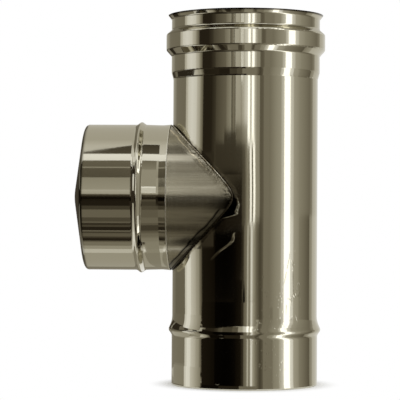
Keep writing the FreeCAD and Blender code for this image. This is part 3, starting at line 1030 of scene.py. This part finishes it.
def brushed_steel():
    """Satin sheet, brushed round the stub."""
    material, tree = new_material("brushed_stainless")
    place = add(tree, "ShaderNodeTexCoord").outputs["Object"]
    gap, rise = off_seam_on_stub(tree, place)
    lines = grain(tree, place, (BRUSH_LINE, BRUSH_RUN, BRUSH_RUN), 4.0)
    roughness = ramp(tree, lines, 0.3, 0.7, 0.18, 0.25)
    normal = relief(tree, ((lines, BRUSH_DEPTH), (mottled(tree, place, gap, rise), MOTTLE_DEPTH)))
    # Painted highlight on the toe over the tip; painted dark reflection on the toe and painted
    # shade under the tip
    toe_highlight, toe_dark_reflection = toe_highlight_and_dark_reflection(tree, place, gap, rise)
    black = calc(tree, "MAXIMUM", toe_dark_reflection, tip_shade(tree, gap, rise))
    colour = layered(tree, "#c6c1ae", ((painted_shade_and_streaks(tree, place), "#8b8574"), (toe_highlight, "#fff3d6"),
                                       (black, "#1c1812")))
    shader = add(tree, "ShaderNodeBsdfPrincipled", {
        "Base Color": colour, "Metallic": 1.0, "Roughness": roughness,
        "Normal": normal, "Anisotropic": 0.85, "Anisotropic Rotation": 0.25,
        "Tangent": add(tree, "ShaderNodeTangent", direction_type="RADIAL", axis="X")})
    add(tree, "ShaderNodeOutputMaterial", {"Surface": shader})
    return material


STUB_STEEL = brushed_steel()
print(STUB_STEEL.name, len(STUB_STEEL.node_tree.nodes), "nodes")

# %% [markdown]
# The seals are black silicone rubber, matt from its mould, with a little pale dust on it. One flat
# colour could do for something hardly seen, at the rim of the socket and in the open cap, but it
# would look like a gap there. So two noises are added: a fine one for the moulded grain and a
# coarse one for the dust.

# %% Rubber
RUBBER_GRAIN = 0.4 * MM
RUBBER_DEPTH = 0.02 * MM
DUST_SIZE = 9 * MM


def rubber():
    """Black silicone rubber."""
    material, tree = new_material("black_silicone_rubber")
    place = add(tree, "ShaderNodeTexCoord").outputs["Object"]
    mould = noise(tree, place, RUBBER_GRAIN)
    cloud = noise(tree, place, DUST_SIZE, 4.0)
    dust = ramp(tree, cloud, 0.45, 0.75, 0, 0.5)
    shader = add(tree, "ShaderNodeBsdfPrincipled", {
        "Base Color": layered(tree, "#1f1e1b", ((dust, "#3b3934"),)), "Roughness": 0.55,
        "Normal": relief(tree, ((mould, RUBBER_DEPTH),))})
    add(tree, "ShaderNodeOutputMaterial", {"Surface": shader})
    return material


def dress(node_name, material):
    """Gives a frame node its finish."""
    for slot in NODES[node_name].material_slots:
        slot.material = material


SEAL = rubber()
FINISHES = {"main_tube": TUBE_STEEL, "end_cap": CAP_STEEL, "branch_stub": STUB_STEEL,
            "socket_seal": SEAL, "cap_seal": SEAL}
for node_name, material in FINISHES.items():
    dress(node_name, material)
print("materials", sorted(m.name for m in bpy.data.materials))

# %% [markdown]
# The weld is a fusion bead, ground over. Above the front tip it shows silver and straw colours, and
# below it the colour is dark, partly scale that the grinder didn't reach and partly painted shade
# in the gap under the branch. It could be two materials on two lengths of the bead, but the one
# runs into the other, so one metal is coloured by noise and by height.

# %% Weld finish
WELD_TINT_SIZE = 3 * MM
SCUFF_SIZE = 0.5 * MM
SCUFF_DEPTH = 0.05 * MM
SCALE_AND_SHADE_FADE = 14 * MM


def weld_steel():
    """Fusion weld, ground over: silver and straw over the tip, dark scale and painted shade under
    it.
    """
    material, tree = new_material("ground_weld")
    place = add(tree, "ShaderNodeTexCoord").outputs["Object"]
    cloud = noise(tree, place, WELD_TINT_SIZE, 3.0)
    tint = ramp(tree, cloud, 0.35, 0.65)
    scuffs = noise(tree, place, SCUFF_SIZE, 3.0)
    roughness = ramp(tree, scuffs, 0.3, 0.7, 0.1, 0.32)
    height = add(tree, "ShaderNodeSeparateXYZ", {"Vector": place}).outputs["Z"]
    # Painted shade with scale: the weld darkens downwards from 14 mm over the branch's axis
    scaled = ramp(tree, height, BRANCH_HEIGHT, BRANCH_HEIGHT + SCALE_AND_SHADE_FADE, 1, 0)
    shader = add(tree, "ShaderNodeBsdfPrincipled", {
        "Base Color": layered(tree, "#d8d3c2", ((tint, "#8d8068"), (scaled, "#3d372b"))),
        "Metallic": 1.0, "Roughness": roughness,
        "Normal": relief(tree, ((scuffs, SCUFF_DEPTH),))})
    add(tree, "ShaderNodeOutputMaterial", {"Surface": shader})
    return material


WELD_STEEL = weld_steel()
print(WELD_STEEL.name, len(WELD_STEEL.node_tree.nodes), "nodes")

# %% [markdown]
# A Geometry Nodes tree is a recipe with named sizes. It could be clicked together and kept in a
# Blender file, but then nobody could read it here. So the script builds the tree, runs it once on
# an empty mesh and keeps the result as a plain mesh, which other programs can read too.

# %% Making a piece from a tree
def new_tree(name, sizes):
    """A node tree with a named input for each size. Returns it with its input sockets."""
    tree = bpy.data.node_groups.new(name, "GeometryNodeTree")
    tree.interface.new_socket("Geometry", in_out="INPUT", socket_type="NodeSocketGeometry")
    tree.interface.new_socket("Geometry", in_out="OUTPUT", socket_type="NodeSocketGeometry")
    for size in sizes:
        tree.interface.new_socket(size, in_out="INPUT", socket_type="NodeSocketFloat")
    return tree, add(tree, "NodeGroupInput").outputs


def close_tree(tree, geometry, material):
    """The tree's last nodes: smooth shading, real geometry and its material."""
    smooth = add(tree, "GeometryNodeSetShadeSmooth", {"Geometry": geometry})
    real = add(tree, "GeometryNodeRealizeInstances", {"Geometry": smooth})
    painted = add(tree, "GeometryNodeSetMaterial", {"Geometry": real, "Material": material})
    add(tree, "NodeGroupOutput", {"Geometry": painted})


def made_by(tree, sizes, name):
    """The tree's result as a plain mesh object at the origin."""
    source = bpy.data.objects.new(name + "_source", bpy.data.meshes.new(name + "_source"))
    bpy.context.scene.collection.objects.link(source)
    modifier = source.modifiers.new("maker", "NODES")
    modifier.node_group = tree
    for socket in tree.interface.items_tree:
        if socket.in_out == "INPUT" and socket.name in sizes:
            modifier[socket.identifier] = sizes[socket.name]
    ready = source.evaluated_get(bpy.context.evaluated_depsgraph_get())
    mesh = bpy.data.meshes.new_from_object(ready)
    bpy.data.objects.remove(source)
    piece = bpy.data.objects.new(name, mesh)
    bpy.context.scene.collection.objects.link(piece)
    print(name, len(mesh.polygons), "faces")
    return piece


print(len(bpy.data.node_groups), "trees before the weld's own")

# %% [markdown]
# The weld bead. It follows a rule: the line where a round stub meets a round tube. It could be cut
# from solids, or drawn as a curve by hand. The tree bends a circle into that line, swells it in
# ripples as the welder's hand moved on, and sweeps a round section along it, so each of its sizes
# stays a number. The seam was then ground over, so the ripples are low and uneven. The frame's own
# weld is the same bead without ripples, and this one stands in for it.

# %% Weld bead
WELD_STEPS = 900
WELD_SIDES = 10
WELD_SIZES = {"Tube Radius": BODY_RADIUS, "Stub Radius": STUB_RADIUS,
              "Branch Height": BRANCH_HEIGHT, "Bead Radius": 0.62 * MM,
              "Ripple Pitch": 1.7 * MM, "Ripple Depth": 0.1,
              "Unevenness": 0.5, "Lump Size": 4.5 * MM, "Seed": 3.0}


def weld_tree():
    """The tree that makes the bead from its sizes."""
    tree, size = new_tree("saddle_weld_bead", WELD_SIZES)
    circle = add(tree, "GeometryNodeCurvePrimitiveCircle",
                 {"Resolution": WELD_STEPS, "Radius": 1.0})
    turn = add(tree, "ShaderNodeSeparateXYZ", {0: add(tree, "GeometryNodeInputPosition")})
    y = calc(tree, "MULTIPLY", turn.outputs["Y"], size["Stub Radius"])
    z = calc(tree, "MULTIPLY_ADD", turn.outputs["X"], size["Stub Radius"], size["Branch Height"])
    y_square = calc(tree, "MULTIPLY", y, y)
    tube_square = calc(tree, "POWER", size["Tube Radius"], 2.0)
    x_square = calc(tree, "SUBTRACT", tube_square, y_square)
    depth = calc(tree, "SQRT", x_square)
    x = calc(tree, "MULTIPLY", depth, -1.0)
    seam = add(tree, "ShaderNodeCombineXYZ", {"X": x, "Y": y, "Z": z})
    path = add(tree, "GeometryNodeSetPosition", {"Geometry": circle, "Position": seam})
    along = add(tree, "GeometryNodeSplineParameter").outputs["Length"]
    waves = calc(tree, "DIVIDE", along, size["Ripple Pitch"])
    phase = calc(tree, "MULTIPLY", waves, math.tau)
    ripple = calc(tree, "SINE", phase)
    low = calc(tree, "MULTIPLY_ADD", ripple, size["Ripple Depth"], 1.0)
    cloud = add(tree, NOISE,
                {"Vector": add(tree, "GeometryNodeInputPosition"), "Detail": 2.0,
                 "Scale": calc(tree, "DIVIDE", 1.0, size["Lump Size"]), "W": size["Seed"]},
                noise_dimensions="4D")
    even = calc(tree, "SUBTRACT", cloud, 0.5)
    swell = calc(tree, "MULTIPLY_ADD", even, size["Unevenness"], low)
    section = add(tree, "GeometryNodeCurvePrimitiveCircle", {"Resolution": WELD_SIDES,
                                                            "Radius": size["Bead Radius"]})
    bead = add(tree, "GeometryNodeCurveToMesh", {"Curve": path, "Scale": swell,
                                                 "Profile Curve": section})
    close_tree(tree, bead, WELD_STEEL)
    return tree


WELD = made_by(weld_tree(), WELD_SIZES, "weld_bead")
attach(WELD, "tee")
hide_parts("saddle_weld")
